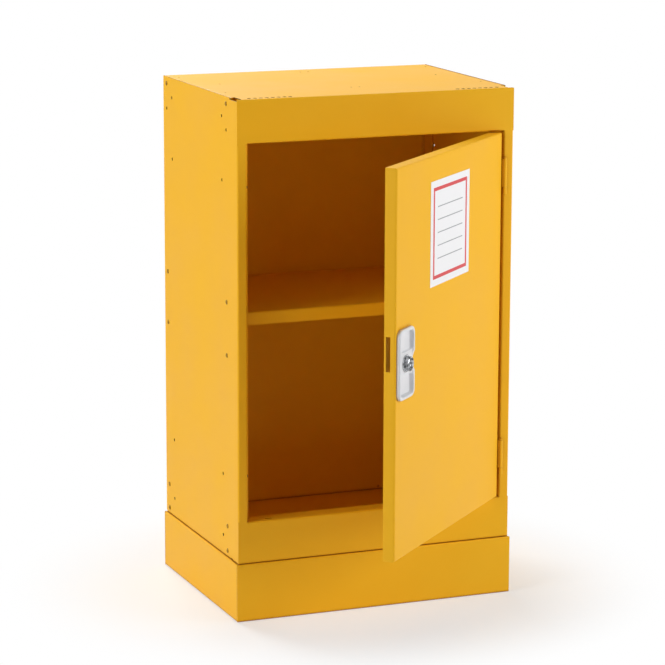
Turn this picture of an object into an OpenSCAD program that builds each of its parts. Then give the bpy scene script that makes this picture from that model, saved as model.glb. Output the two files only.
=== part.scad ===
// Single-door steel storage cabinet for small bottles, on a plinth.
// Folded sheet carcass with an inset door on pin hinges, a cam lock in a grey
// finger-pull plate, one adjustable shelf on clips and a pan floor that holds spills.
// Origin: centre of the width, on the body's front plane, at floor level.
// +X to the hinge side, +Y to the back, +Z up. Millimetres.

/* [Body] */
// Width over the side panels
body_w = 400; // [320:5:500]
// Depth from the front plane to the back
body_d = 300; // [240:5:400]
// Height of the body without its plinth
body_h = 630; // [560:5:900]
// Thickness of the folded sheet
sheet = 1.2; // [0.9:0.1:1.6]
// Radius of the bends, at the middle of the sheet
bend_r = 1.8; // [1.4:0.1:2.4]
// Reach of the side panels' bottom flanges
side_flange = 24; // [16:1:32]

/* [Front frame] */
// Face width of each stile
stile_w = 14; // [12:1:22]
// Depth of the folded returns behind the stiles and the header
return_d = 19; // [18:0.5:24]
// Width of the stop lip that the closed door rests on
stop_lip = 7; // [5:0.5:9]
// Face height of the header
header_h = 58.5; // [40:0.5:80]
// Face height of the sill
sill_h = 58; // [40:0.5:80]
// Depth of the flanges along the header's top and the sill's top and bottom
frame_flange = 28; // [22:1:34]
// Distance that the header's top flange stops short of each side
flange_cut = 7.5; // [5:0.5:12]
// Depth of the relief in the side panels' top front corners
relief_h = 2.5; // [1.5:0.5:4]
// Length of the relief in the side panels' bottom bends
relief_len = 7; // [3:0.5:10]
// Distance of the header's end tabs below its top
tab_drop = 30; // [14:1:32]
// Distance of the sill's small slot from the edge of the opening, and behind the front plane
sill_slot_side = 33; // [20:1:60]
sill_slot_y = 10; // [8:0.5:16]
// Length and width of that slot
sill_slot_len = 10; // [6:0.5:14]
sill_slot_w = 5; // [2:0.5:5]
// Downward or upward stiffening lips on the frame's flanges
frame_lip = 8; // [5:1:12]

/* [Vent holes] */
// Holes in each row in the header's top flange
vent_count = 8; // [3:1:8]
// Spacing of the holes
vent_pitch = 8.3; // [7:0.1:9]
// Radius of a hole
vent_r = 2.8; // [2:0.1:3]
// Distance of the holes behind the front plane
vent_y = 11; // [8:0.5:13]
// Distance from a row's outer hole to the side of the body
vent_side = 21; // [16:1:30]

/* [Top, back and sump] */
// Depth of the top panel's side and rear flanges
top_flange = 20; // [16:1:26]
// Reach of the step that tucks under the header's flange
top_tuck = 12; // [6:1:14]
// Reach of the back panel's side flanges
back_flange = 33; // [26:1:40]
// Distances of the top panel's small holes from its middle, its sides, the front and the back
top_hole_mid = 6; // [5:0.5:12]
top_hole_side = 13; // [10:0.5:20]
top_hole_front = 80; // [60:1:100]
top_hole_rear = 30; // [24:1:40]
// Height of the pan's upstands
sump_h = 52; // [46:1:54]
// Radius of the two drain holes, their height above the pan's floor and distance from the sides
drain_r = 2; // [1.5:0.1:3]
drain_up = 4.5; // [4:0.1:6]
drain_side = 70; // [40:1:120]
// Gap between the back panel's lower edge and the pan's floor
drain_gap = 1.2; // [0.6:0.2:3]

/* [Plinth] */
// Height of the plinth
plinth_h = 80; // [50:5:150]
// Amount the plinth stands proud of the body, front, sides and back
plinth_proud = 2.5; // [0:0.5:6]
// Thickness of the plinth's sheet
plinth_sheet = 1.5; // [1.2:0.1:2]
// Radius of the plinth's bends, at the middle of the sheet
plinth_bend = 1.2; // [1:0.1:1.6]
// Gap at the plinth's corner joints
plinth_joint = 0.8; // [0.2:0.1:1]
// Width of the plinth's flanges
plinth_flange = 22; // [18:1:30]
// Distance of the plinth bolts from the outside of the body
bolt_inset = 11; // [9:0.5:14]
// Distance of the plinth bolts from the front and the back
bolt_end = 60; // [45:5:90]
// Height of the bolts' domed heads
bolt_head_h = 3.2; // [2.4:0.1:4.5]
// Thickness of their washers and nuts
washer_t = 1.2; // [0.8:0.1:2]
bolt_nut_t = 5; // [4:0.1:6.5]
// Radius of the plinth bolts
bolt_r = 3; // [2.5:0.5:4]

/* [Door] */
// Thickness of the door over its folded edges
door_t = 16; // [15:0.5:18]
// Gap at the door's top, bottom and free edge
door_gap = 2; // [1.5:0.1:3]
// Gap at the hinge edge, which holds the two hinge leaves
hinge_gap = 3.5; // [2.4:0.1:3.5]
// Width of the returns behind the door's edges
door_return = 14; // [10:1:18]
// Angle at which the door stands open
door_open = 44; // [0:1:90]
// Width of the stiffener behind the door
stiff_w = 60; // [40:5:90]
// Width of the stiffener's feet
stiff_foot = 12; // [8:1:20]
// Length left free above and below the stiffener
stiff_end = 24; // [18:1:40]

/* [Hinges] */
// Length of a hinge
hinge_len = 48; // [40:1:70]
// Distances of the upper hinge from the door's top and the lower hinge from its bottom
hinge_head = 36; // [25:1:80]
hinge_foot = 32; // [25:1:80]
// Length of the short knuckle on the frame
frame_knuckle = 9.5; // [8:0.5:16]
// Outer radius of the knuckles
knuckle_r = 3; // [2.8:0.1:3.6]
// Radius of the hinge pin
pin_r = 1.75; // [1.5:0.05:2]
// Running clearance of the pin in the door's knuckle
pin_clear = 0.06; // [0.04:0.01:0.1]
// Thickness of the hinge leaves
leaf_t = 0.9; // [0.7:0.1:1]
// Width of the hinge leaves
leaf_w = 13; // [10:0.5:14]
// Distance of the hinge axis in front of the front plane
axis_proud = 2.9; // [2.8:0.1:3.6]
// Distance of the hinge axis past the edge of the opening
axis_side = 0.3; // [0:0.1:0.6]

/* [Lock] */
// Distance of the lock from the door's free edge
lock_edge = 28; // [27:0.5:32]
// Height of the lock above the door's lower edge
lock_up = 256; // [180:1:320]
// Width of the cam's arm
cam_w = 12; // [9:0.5:14]
// Reach of the cam's arm from the lock's axis
cam_reach = 40; // [37:0.5:41]
// Thickness of the cam
cam_t = 2; // [1.5:0.1:2.5]
// Depth of the cam's middle behind the door's face
cam_depth = 10.5; // [10.2:0.1:11]
// Width of the slots that the cam passes through
cam_slot_w = 6; // [5.5:0.1:6.5]
// Height of those slots
cam_slot_h = 45; // [44:1:50]
// Radius of the cylinder's barrel in front of its collar
barrel_r = 9.6; // [9:0.1:10]
// Width of the collar round the barrel, and its height
collar_w = 2; // [1:0.1:3]
collar_h = 1.4; // [0.8:0.1:2]
// Width of the thread's shoulder behind the barrel's front
shoulder = 1.6; // [1:0.1:2]
// Depth of the plug's face behind the barrel's
plug_recess = 2.4; // [0.4:0.1:3]
// Height of the barrel's face in front of the door's face
barrel_out = 10; // [8:0.5:12]
// Radius of the turning plug
plug_r = 6.2; // [5.5:0.1:6.5]
// Running clearance round the plug
plug_clear = 0.08; // [0.05:0.01:0.1]
// Length of the key slot in the plug's face
key_len = 8; // [6:0.5:9]
// Depth of the key slot
key_deep = 6; // [4:0.5:8]
// Width of the key slot
key_w = 1.4; // [1.2:0.1:2]

/* [Handle plate] */
// Width of the plate
plate_w = 50; // [46:1:52]
// Height of the plate
plate_h = 92; // [86:1:110]
// Thickness of the plate in front of the door
plate_t = 5; // [4:0.5:6]
// Radius of the plate's corners
plate_r = 10; // [8:0.5:14]
// Width of the rim round the finger pockets
rim = 4.5; // [4:0.5:6]
// Wall of the moulded cup
cup_wall = 1.4; // [1.2:0.1:1.8]
// Depth of the cup behind the door's face
cup_depth = 2; // [1.6:0.1:3]
// Half height of the bridge between the two finger pockets
bridge = 15; // [14:0.5:18]
// Height of the bridge's face in front of the door's face
bridge_out = 2.6; // [1.5:0.1:3.5]
// Depth of the dip in the rim beside the lock
dip_depth = 4; // [2:0.5:4.5]
// Radius of that dip
dip_r = 26; // [20:1:40]

/* [Shelf] */
// Height of the shelf's face above the underside of the body
shelf_up = 340; // [200:5:500]
// Depth of the shelf
shelf_d = 258; // [190:1:262]
// Height of the shelf's folded edges
shelf_lip = 17.5; // [14:0.5:25]
// Distance of the shelf's front edge behind the front plane
shelf_front = 30; // [29:1:40]
// Width of the returns under the shelf's front and rear edges
shelf_return = 10; // [6:1:14]
// Gap between the shelf's ends and the brackets
shelf_side = 1; // [0.6:0.1:3]
// Clearance between pieces that move past each other
clear = 0.3; // [0.2:0.05:0.5]

/* [Shelf brackets] */
// Height of a bracket
bracket_h = 95; // [85:1:120]
// Width of a bracket's riveted foot
foot_w = 12; // [10:0.5:16]
// Width of a bracket's slotted face
web_w = 14; // [12:0.5:18]
// Distance of the slotted face from the side panel
bracket_off = 6; // [5:0.5:8]
// Spacing of the bracket's slots
slot_pitch = 20; // [15:1:22]
// Height of the bracket's middle above the shelf clips' ledge
bracket_rise = -5; // [-12:1:8]
// Width of a shelf clip
clip_w = 8; // [6:0.5:9]
// Thickness of a shelf clip
clip_t = 1.5; // [1.2:0.1:1.8]
// Reach of a clip's ledge under the shelf
clip_reach = 11; // [8:1:16]

/* [Rivets and holes] */
// Radius of a rivet's head
rivet_head_r = 3.2; // [2.5:0.1:4]
// Height of a rivet's head
rivet_head_h = 1.3; // [0.8:0.1:1.8]
// Radius of a rivet's body
rivet_r = 1.6; // [1.2:0.1:2]
// Distance of the front rivets behind the front plane
rivet_front = 42; // [38:1:50]
// Distance of the rear rivets from the back
rivet_rear = 14; // [12:1:18]
// Distance of the top rivets below the top
rivet_top = 9.5; // [8:0.5:12]
// Heights of the lower two rivets above the underside of the body
rivet_low = 9; // [8:0.5:14]
rivet_high = 43.5; // [36:0.5:44]
// Spacing of the two rivets in a shelf bracket
rivet_pitch = 73; // [60:1:78]
// Radius of the spare holes
spare_r = 2.2; // [1.5:0.1:3]
// Distance of the front spare holes behind the front plane
spare_front = 59; // [56:1:76]
// Distance of the rear spare holes from the back
spare_rear = 36; // [35:1:46]
// Distances of the spare holes from the body's top and underside
spare_near = 27.5; // [24:0.5:34]
spare_far = 113.5; // [90:0.5:130]
// Distance of the extra hole in each rivet column below the top
spare_extra = 44.5; // [38:0.5:60]

/* [Label] */
// Width of the blank adhesive label
label_w = 134; // [80:1:180]
// Height of the blank label
label_h = 138; // [80:1:180]
// Distance of the door buffers from the ends of the opening
buffer_end = 60; // [30:5:120]
// Radius of the door buffers
buffer_r = 2.8; // [2.2:0.1:3.2]
// Thickness of the label
label_t = 0.3; // [0.2:0.1:0.5]
// Distance of the label from the door's hinge edge
label_side = 120; // [60:1:160]
// Distance of the label below the door's top edge
label_top = 33; // [20:1:80]

/* [Hidden] */
$fn = 48;

yellow = "#f7bc40";
plastic = "#d8d8dc";
chrome = "#c9cbd0";
zinc = "#b9bcc0";
rubber = "#2b2b2b";
paper = "#f4f4f2";

half_w = body_w / 2;
mid = sheet / 2;
bend_out = bend_r + mid;
body_z = plinth_h;
top_z = plinth_h + body_h;
open_l = -half_w + stile_w;
open_r = half_w - stile_w;
sill_z = body_z + sill_h;
head_z = top_z - header_h;
inner_w = half_w - sheet;

door_l = open_l + door_gap;
door_r = open_r - hinge_gap;
door_z0 = sill_z + door_gap;
door_z1 = head_z - door_gap;
door_w = door_r - door_l;
door_h = door_z1 - door_z0;
axis_x = open_r + axis_side;
axis_y = -axis_proud;

lock_x = door_l + lock_edge;
lock_z = door_z0 + lock_up;
cam_slot_z0 = lock_z - cam_w / 2 - 1;

shelf_top = body_z + shelf_up;
shelf_bottom = shelf_top - shelf_lip;
ledge_z = shelf_bottom - clear;
bracket_z = ledge_z + bracket_rise;
web_x = inner_w - bracket_off;
shelf_half = web_x - shelf_side;
rear_rivet_y = body_d - rivet_rear;
pan_z = body_z + sheet;
pan_floor = pan_z + sheet;

// ---------- folded sheet ----------

function unit(v) = v / norm(v);
function left_of(v) = [-v[1], v[0]];
function turned(v, a) = [v[0] * cos(a) - v[1] * sin(a), v[0] * sin(a) + v[1] * cos(a)];

// Points of one face of a folded strip at corner b of its middle line a-b-c.
// r is the middle radius of the bend and k the offset of the face to the left.
function bend(a, b, c, r, k, steps = 4) =
    let (u = unit(b - a), v = unit(c - b), turn = u[0] * v[1] - u[1] * v[0],
         s = sign(turn), angle = acos(u * v), start = b - r * tan(angle / 2) * u,
         centre = start + s * r * left_of(u))
    [for (i = [0:steps]) centre - s * (r - s * k) * turned(left_of(u), s * angle * i / steps)];

function face(path, r, k) =
    let (n = len(path), first = unit(path[1] - path[0]), last = unit(path[n - 1] - path[n - 2]))
    concat([path[0] + k * left_of(first)],
           [for (i = [1:n - 2]) each bend(path[i - 1], path[i], path[i + 1], r, k)],
           [path[n - 1] + k * left_of(last)]);

function reversed(p) = [for (i = [len(p) - 1:-1:0]) p[i]];

// Outline of a strip of thickness t folded along the middle line path
function folded(path, t = sheet, r = bend_r) =
    concat(face(path, r, t / 2), reversed(face(path, r, -t / 2)));

// An outline in X and Y, raised along Z
module along_z(outline, z0, z1) {
    translate([0, 0, z0]) linear_extrude(z1 - z0) polygon(outline);
}

// An outline in Y and Z, drawn out along X
module along_x(outline, x0, x1) {
    translate([x0, 0, 0]) rotate([90, 0, 90]) linear_extrude(x1 - x0) polygon(outline);
}

// An outline in X and Z, drawn out along Y
module along_y(outline, y0, y1) {
    translate([0, y1, 0]) rotate([90, 0, 0]) linear_extrude(y1 - y0) polygon(outline);
}

// A box given by its two opposite corners
module block(low, high) {
    translate(low) cube(high - low);
}

// Quarter-round corner points about a centre
function corner(cx, cy, r, from) = [for (i = [0:4]) [cx + r * cos(from + 22.5 * i), cy + r * sin(from + 22.5 * i)]];

// A rectangle w by h standing on its lower side, with the two lower corners rounded
function trough(w, h, r) = concat([[w / 2, h], [-w / 2, h]],
    corner(-w / 2 + r, r, r, 180), corner(w / 2 - r, r, r, 270));

// A rectangle centred on the origin with rounded corners
function round_rect(w, h, r) = concat(corner(w / 2 - r, h / 2 - r, r, 0),
    corner(-w / 2 + r, h / 2 - r, r, 90), corner(-w / 2 + r, -h / 2 + r, r, 180),
    corner(w / 2 - r, -h / 2 + r, r, 270));

// A solid with its lower edges rounded, centred on X and Y, standing on Z = 0
module tub_form(w, d, h, r) {
    intersection() {
        along_y(trough(w, h, r), -d / 2, d / 2);
        along_x(trough(d, h, r), -w / 2, w / 2);
    }
}

// A pan folded up from one sheet, open at the top
module tub(w, d, h) {
    difference() {
        tub_form(w, d, h, bend_out);
        translate([0, 0, sheet])
            tub_form(w - 2 * sheet, d - 2 * sheet, h, bend_out - sheet);
    }
}

module both_sides() {
    children();
    mirror([1, 0, 0]) children();
}

// A round hole through a side wall, along X
module side_hole(x, y, z, r) {
    translate([x, y, z]) rotate([0, 90, 0]) cylinder(h = 12, r = r, center = true);
}

// ---------- rivets and holes in the sides ----------

low_rivets = [body_z + rivet_low, body_z + rivet_high];
bracket_rivets = [bracket_z - rivet_pitch / 2, bracket_z + rivet_pitch / 2];
top_rivet = top_z - rivet_top;
rivet_z = concat(low_rivets, bracket_rivets, [top_rivet]);
spare_z = [body_z + spare_near, body_z + spare_far, top_z - spare_far, top_z - spare_near];

module rivet_holes(side, heights, columns) {
    for (y = columns, z = heights)
        side_hole(side * half_w, y, z, rivet_r + 0.05);
}

module spare_holes(side) {
    for (z = spare_z, y = [spare_front, body_d - spare_rear])
        side_hole(side * half_w, y, z, spare_r);
    for (y = [rivet_front, rear_rivet_y])
        side_hole(side * half_w, y, top_z - spare_extra, spare_r);
}

// Slot in the plane of a stile's return or of the door's edge that the cam passes through
module cam_slot(x) {
    block([x - 4, cam_depth - cam_slot_w / 2, cam_slot_z0],
          [x + 4, cam_depth + cam_slot_w / 2, cam_slot_z0 + cam_slot_h]);
}

// ---------- carcass ----------

// One side panel. It stands on the left, and lip is the width of its door stop.
module side_panel(lip) {
    x = -half_w + mid;
    y_in = return_d - mid;
    stile = concat([[x, body_d / 2], [x, mid], [open_l - mid, mid]],
                   lip > 0 ? [[open_l - mid, y_in], [open_l + lip, y_in]] : [[open_l - mid, y_in]]);
    difference() {
        union() {
            // Flat wall above and below the stile, and behind it
            block([-half_w, sheet, head_z], [-half_w + sheet, body_d, top_z]);
            block([-half_w, bend_out * 2, body_z + bend_out], [-half_w + sheet, body_d, head_z]);
            block([-half_w, sheet, body_z + bend_out], [-half_w + sheet, frame_flange + 1, sill_z]);
            // Folded stile between the sill and the header
            along_z(folded(stile), sill_z, head_z);
            // Bottom flange, cut back to its bend beside the sill
            along_y(folded([[x, body_z + 10], [x, body_z + mid], [-half_w + side_flange, body_z + mid]]),
                    frame_flange + 1, body_d - 1);
            along_y(folded([[x, body_z + 10], [x, body_z + mid], [-half_w + bend_out + 0.2, body_z + mid]]),
                    sheet, frame_flange + 2);
        }
        block([-half_w - 1, frame_flange - relief_len, body_z - 1],
              [-half_w + bend_out + 1, frame_flange + 1, body_z + relief_h]);
        // Relief in the top front corner, beside the header's flange
        block([-half_w - 1, sheet, top_z - relief_h], [-half_w + sheet + 1, frame_flange, top_z + 1]);
        rivet_holes(-1, rivet_z, [rivet_front, rear_rivet_y]);
        spare_holes(-1);
        bolt_holes(sheet);
        if (lip > 0) cam_slot(open_l - mid);
    }
}

module side_panel_left() color(yellow) side_panel(stop_lip);

module side_panel_right() color(yellow) mirror([1, 0, 0]) side_panel(0);

module vent_row() {
    for (i = [0:vent_count - 1])
        translate([half_w - vent_side - i * vent_pitch, vent_y, top_z])
            cylinder(h = 6, r = vent_r, center = true);
}

// The header's return and the sill's top flange lie between the stiles. Outside them
// the face runs flat to the stile's end.
module front_header() color(yellow) difference() {
    union() {
        along_x(folded([[return_d - mid, head_z + frame_lip], [return_d - mid, head_z + mid],
                        [mid, head_z + mid], [mid, top_z - mid], [frame_flange, top_z - mid]]),
                open_l, open_r);
        both_sides() along_x(folded([[mid, head_z], [mid, top_z - mid], [frame_flange, top_z - mid]]),
                             open_r, half_w);
        // Welded end tabs
        both_sides() block([inner_w - sheet, mid, head_z + mid], [inner_w, return_d, top_z - tab_drop]);
    }
    // Only the face runs on over the side panels' front edges
    both_sides() block([inner_w, sheet, head_z - 1], [half_w + 1, frame_flange + 1, top_z + 1]);
    both_sides() block([half_w - flange_cut, sheet + 0.8, top_z - bend_out], [half_w + 1, frame_flange + 1, top_z + 1]);
    both_sides() vent_row();
}

module front_sill() color(yellow) difference() {
    union() {
        along_x(folded([[frame_flange, body_z + mid], [mid, body_z + mid], [mid, sill_z - mid],
                        [frame_flange - mid, sill_z - mid], [frame_flange - mid, sill_z - frame_lip]]),
                open_l, open_r);
        both_sides() along_x(folded([[frame_flange, body_z + mid], [mid, body_z + mid], [mid, sill_z]]),
                             open_r, half_w);
    }
    both_sides() block([inner_w, sheet, body_z - 1], [half_w + 1, frame_flange + 1, sill_z + 1]);
    // The bottom flange stops short of the side panels' bends
    both_sides() block([half_w - bend_out - 0.6, sheet, body_z - 1], [half_w, frame_flange + 1, body_z + bend_out]);
    // Small slot in the top flange, for a fixing
    translate([open_l + sill_slot_side, sill_slot_y, sill_z]) cube([sill_slot_len, sill_slot_w, 6], center = true);
}

module top_panel() color(yellow) difference() {
    union() {
        along_y(folded([[-inner_w + mid, top_z - top_flange], [-inner_w + mid, top_z - mid],
                        [inner_w - mid, top_z - mid], [inner_w - mid, top_z - top_flange]]),
                frame_flange, body_d - 2 * sheet - 1);
        along_x(folded([[frame_flange, top_z - mid], [body_d - mid, top_z - mid], [body_d - mid, top_z - top_flange]]),
                -inner_w + bend_out, inner_w - bend_out);
        // Step tucked under the header's flange
        block([-inner_w + flange_cut, frame_flange - top_tuck, top_z - 2 * sheet],
              [inner_w - flange_cut, frame_flange + 4, top_z - sheet]);
    }
    for (s = [-1, 1]) rivet_holes(s, [top_rivet], [rivet_front, rear_rivet_y]);
    for (p = [[top_hole_mid, top_hole_front], [top_hole_mid, body_d - top_hole_rear],
              [half_w - top_hole_side, top_hole_front], [half_w - top_hole_side, body_d - top_hole_rear],
              [half_w - 3 * top_hole_side, (top_hole_front + body_d - top_hole_rear) / 2]])
        both_sides() translate([p[0], p[1], top_z]) cylinder(h = 8, r = 1.5, center = true);
}

module back_panel() color(yellow) {
    y = body_d - sheet - mid;
    difference() {
        union() {
            along_z(folded([[-inner_w + mid, body_d - back_flange], [-inner_w + mid, y],
                            [inner_w - mid, y], [inner_w - mid, body_d - back_flange]]),
                    pan_z + sump_h + 1, top_z - top_flange - 1);
            block([-inner_w + sheet + clear, y - mid, pan_floor + drain_gap],
                  [inner_w - sheet - clear, y + mid, top_z - bend_out - clear]);
        }
        for (s = [-1, 1]) rivet_holes(s, bracket_rivets, [rear_rivet_y]);
        for (s = [-1, 1]) side_hole(s * half_w, rear_rivet_y, top_z - spare_extra, spare_r);
        both_sides() translate([inner_w - drain_side, y, pan_floor + drain_up]) rotate([90, 0, 0])
            cylinder(h = 6, r = drain_r, center = true);
    }
}

module sump_pan() color(yellow) difference() {
    translate([0, (sheet + body_d) / 2, pan_z]) tub(2 * inner_w, body_d - sheet, sump_h);
    for (s = [-1, 1]) {
        rivet_holes(s, low_rivets, [rivet_front, rear_rivet_y]);
        for (y = [spare_front, body_d - spare_rear]) side_hole(s * half_w, y, body_z + spare_near, spare_r);
    }
    bolt_holes(3 * sheet);
}

// ---------- plinth ----------

plinth_x = half_w + plinth_proud;
plinth_y0 = -plinth_proud;
plinth_y1 = body_d + plinth_proud;
plinth_mid = plinth_sheet / 2;

// C-shaped channel profile in [inward, up], outer face at inward = 0
channel = [[plinth_flange, plinth_mid], [plinth_mid, plinth_mid],
           [plinth_mid, plinth_h - plinth_mid], [plinth_flange, plinth_h - plinth_mid]];

module plinth_cross(x0, x1, y, facing) {
    outline = [for (p = folded(channel, plinth_sheet, plinth_bend)) [y + facing * p[0], p[1]]];
    along_x(outline, x0, x1);
}

module plinth_front() color(yellow) plinth_end(plinth_y0, 1);

module plinth_rear() color(yellow) plinth_end(plinth_y1, -1);

// A front or rear channel. Its flanges stop inside the side channels' walls.
module plinth_end(y, facing) difference() {
    plinth_cross(-plinth_x, plinth_x, y, facing);
    inside = y + facing * plinth_sheet;
    far = y + facing * (plinth_flange + 1);
    both_sides() block([plinth_x - plinth_sheet - plinth_joint, min(inside, far), -1],
                       [plinth_x + 1, max(inside, far), plinth_h + 1]);
}

// A side channel. Its wall reaches the front and rear channels, and its flanges stop at theirs.
module plinth_side() {
    y0 = plinth_y0 + plinth_sheet + plinth_joint;
    y1 = plinth_y1 - plinth_sheet - plinth_joint;
    reach = plinth_flange + clear;
    outline = [for (p = folded(channel, plinth_sheet, plinth_bend)) [-plinth_x + p[0], p[1]]];
    along_y(outline, plinth_y0 + reach, plinth_y1 - reach);
    difference() {
        along_y(outline, y0, y1);
        for (y = [[y0 - 1, plinth_y0 + reach], [plinth_y1 - reach, y1 + 1]])
            block([-plinth_x + plinth_sheet, y[0], -1], [plinth_x, y[1], plinth_h + 1]);
    }
}

module plinth_side_left() color(yellow) difference() {
    plinth_side();
    bolt_holes(plinth_sheet);
}

module plinth_side_right() color(yellow) difference() {
    mirror([1, 0, 0]) plinth_side();
    bolt_holes(plinth_sheet);
}

bolt_places = [for (sx = [-1, 1], y = [bolt_end, body_d - bolt_end]) [sx * (half_w - bolt_inset), y]];

module bolt_holes(reach) {
    for (p = bolt_places)
        translate([p[0], p[1], body_z]) cylinder(h = 2 * reach + 4, r = bolt_r + 0.3, center = true);
}

module plinth_bolts() color(zinc) for (p = bolt_places) translate([p[0], p[1], 0]) {
    under = plinth_h - plinth_sheet;
    tip = under - washer_t - bolt_nut_t - bolt_r;
    // Domed head inside the pan, shank, washer and nut under the plinth's flange
    translate([0, 0, pan_floor]) rotate_extrude()
        polygon([for (q = [[0, 0], [2, 0], [2, 0.25], [1.7, 0.62], [1, 0.9], [0, 1]]) [q[0] * bolt_r, q[1] * bolt_head_h]]);
    translate([0, 0, tip]) cylinder(h = pan_floor - tip + bolt_head_h / 4, r = bolt_r);
    translate([0, 0, under - washer_t]) difference() {
        cylinder(h = washer_t, r = 2 * bolt_r);
        translate([0, 0, -1]) cylinder(h = washer_t + 2, r = bolt_r - 0.1);
    }
    translate([0, 0, under - washer_t - bolt_nut_t]) cylinder(h = bolt_nut_t, r = 1.9 * bolt_r, $fn = 6);
}

// ---------- shelf and its supports ----------

// Bracket with a riveted foot and a slotted face. base is the face that it is fixed to,
// foot_y the middle of its foot, and dir points from the foot to the slotted face.
module bracket(base, foot_y, dir) {
    x0 = -base + mid;
    x1 = -web_x - mid;
    y1 = foot_y + dir * foot_w / 2;
    y2 = y1 + dir * web_w;
    outline = folded([[x0, foot_y - dir * foot_w / 2], [x0, y1], [x1, y1], [x1, y2], [-base + clear, y2]],
                     sheet, 0.9);
    difference() {
        along_z(outline, bracket_z - bracket_h / 2, bracket_z + bracket_h / 2);
        for (z = bracket_rivets) side_hole(-half_w, foot_y, z, rivet_r + 0.05);
        for (i = [-1:2])
            translate([x1, (y1 + y2) / 2, ledge_z - clip_t / 2 + i * slot_pitch])
                cube([4, clip_w + 0.6, clip_t + 0.6], center = true);
    }
}

front_web_y = rivet_front + (foot_w + web_w) / 2;
rear_web_y = rear_rivet_y - (foot_w + web_w) / 2;

module shelf_bracket_front_left() color(yellow) bracket(inner_w, rivet_front, 1);

module shelf_bracket_front_right() color(yellow) mirror([1, 0, 0]) bracket(inner_w, rivet_front, 1);

module shelf_bracket_rear_left() color(yellow) bracket(inner_w - sheet, rear_rivet_y, -1);

module shelf_bracket_rear_right() color(yellow)
    mirror([1, 0, 0]) bracket(inner_w - sheet, rear_rivet_y, -1);

// Clip hooked through a bracket's slot, with a ledge under the shelf's folded edge
module clip(y) {
    t = clip_t / 2;
    z = ledge_z - t;
    along_y(folded([[-web_x - sheet - 0.2 - t, z - 6], [-web_x - sheet - 0.2 - t, z], [-web_x + clip_reach, z]],
                   clip_t, 0.8), y - clip_w / 2, y + clip_w / 2);
    block([-web_x, y - clip_w / 2, z - 8], [-web_x + clip_t, y + clip_w / 2, z]);
}

module shelf_clips() color(zinc) both_sides() {
    clip(front_web_y);
    clip(rear_web_y);
}

module shelf() color(yellow) {
    y1 = shelf_front + shelf_d;
    translate([0, (shelf_front + y1) / 2, shelf_top]) mirror([0, 0, 1])
        tub(2 * shelf_half, shelf_d, shelf_lip);
    for (y = [shelf_front + sheet, y1 - shelf_return])
        block([-shelf_half + sheet, y, shelf_bottom], [shelf_half - sheet, y + shelf_return - sheet, shelf_bottom + sheet]);
}

// ---------- rivets ----------

// Pop rivet along +X from the outside of the left side, through a grip of sheet
module rivet(grip) {
    rotate([0, 90, 0]) rotate_extrude($fn = 24) polygon([
        [0, -rivet_head_h], [rivet_head_r * 0.45, -rivet_head_h * 0.9], [rivet_head_r * 0.8, -rivet_head_h * 0.5],
        [rivet_head_r, 0], [rivet_r, 0], [rivet_r, grip], [rivet_r * 1.35, grip],
        [rivet_r * 1.3, grip + 1.2], [rivet_r * 0.7, grip + 1.9], [0, grip + 1.9]]);
}

module rivet_set() {
    for (z = rivet_z) {
        translate([-half_w, rivet_front, z]) rivet(2 * sheet);
        translate([-half_w, rear_rivet_y, z]) rivet(len(search(z, bracket_rivets)) > 0 ? 3 * sheet : 2 * sheet);
    }
}

module carcass_rivets_left() color(zinc) rivet_set();

module carcass_rivets_right() color(zinc) mirror([1, 0, 0]) rivet_set();

// ---------- hinges ----------

hinge_low = door_z0 + hinge_foot;
hinge_high = door_z1 - hinge_head - hinge_len;

// Leaf and short lower knuckle welded to the stile. z0 is the hinge's lower end.
module frame_leaf(z0) {
    split = z0 + frame_knuckle;
    difference() {
        union() {
            translate([axis_x, axis_y, z0]) cylinder(h = frame_knuckle, r = knuckle_r);
            block([open_r - leaf_t, axis_y + 2, z0], [open_r, leaf_w, split]);
            block([open_r - leaf_t, axis_y + knuckle_r + leaf_t, z0], [open_r, leaf_w, z0 + hinge_len]);
        }
        translate([axis_x, axis_y, z0 - 1]) cylinder(h = frame_knuckle + 2, r = pin_r + 0.02);
    }
}

// Leaf and long knuckle welded to the door's edge, standing over the frame's knuckle
module door_leaf(z0) {
    split = z0 + frame_knuckle + clear;
    top = z0 + hinge_len;
    difference() {
        union() {
            translate([axis_x, axis_y, split]) cylinder(h = top - split, r = knuckle_r);
            block([door_r, axis_y + 0.6, split], [door_r + leaf_t, leaf_w, top]);
            block([door_r, axis_y + 0.6, split], [axis_x - knuckle_r + leaf_t, axis_y + 0.6 + leaf_t, top]);
            block([door_r, axis_y + knuckle_r + leaf_t, z0], [door_r + leaf_t, leaf_w, top]);
        }
        translate([axis_x, axis_y, split - 1]) cylinder(h = top - split + 2, r = pin_r + pin_clear);
    }
}

// Pin held in the frame's knuckle, with a flat head above the door's knuckle
module hinge_pin(z0) {
    translate([axis_x, axis_y, z0 + 0.5]) cylinder(h = hinge_len, r = pin_r);
    translate([axis_x, axis_y, z0 + hinge_len + clear]) cylinder(h = 1.2, r = pin_r + 0.9);
}

module hinge_leaf_frame_upper() color(yellow) frame_leaf(hinge_high);

module hinge_leaf_frame_lower() color(yellow) frame_leaf(hinge_low);

module hinge_pin_upper() color(yellow) hinge_pin(hinge_high);

module hinge_pin_lower() color(yellow) hinge_pin(hinge_low);

// ---------- door ----------

// Turns what is modelled with the door shut to where the door stands
module on_door() {
    translate([axis_x, axis_y, 0]) rotate([0, 0, door_open]) translate([-axis_x, -axis_y, 0]) children();
}

// Local axes of the lock: X along the door, Y up, Z out of its face
module at_lock() {
    on_door() translate([lock_x, 0, lock_z]) rotate([90, 0, 0]) children();
}

module hinge_leaf_door_upper() color(yellow) on_door() door_leaf(hinge_high);

module hinge_leaf_door_lower() color(yellow) on_door() door_leaf(hinge_low);

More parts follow.
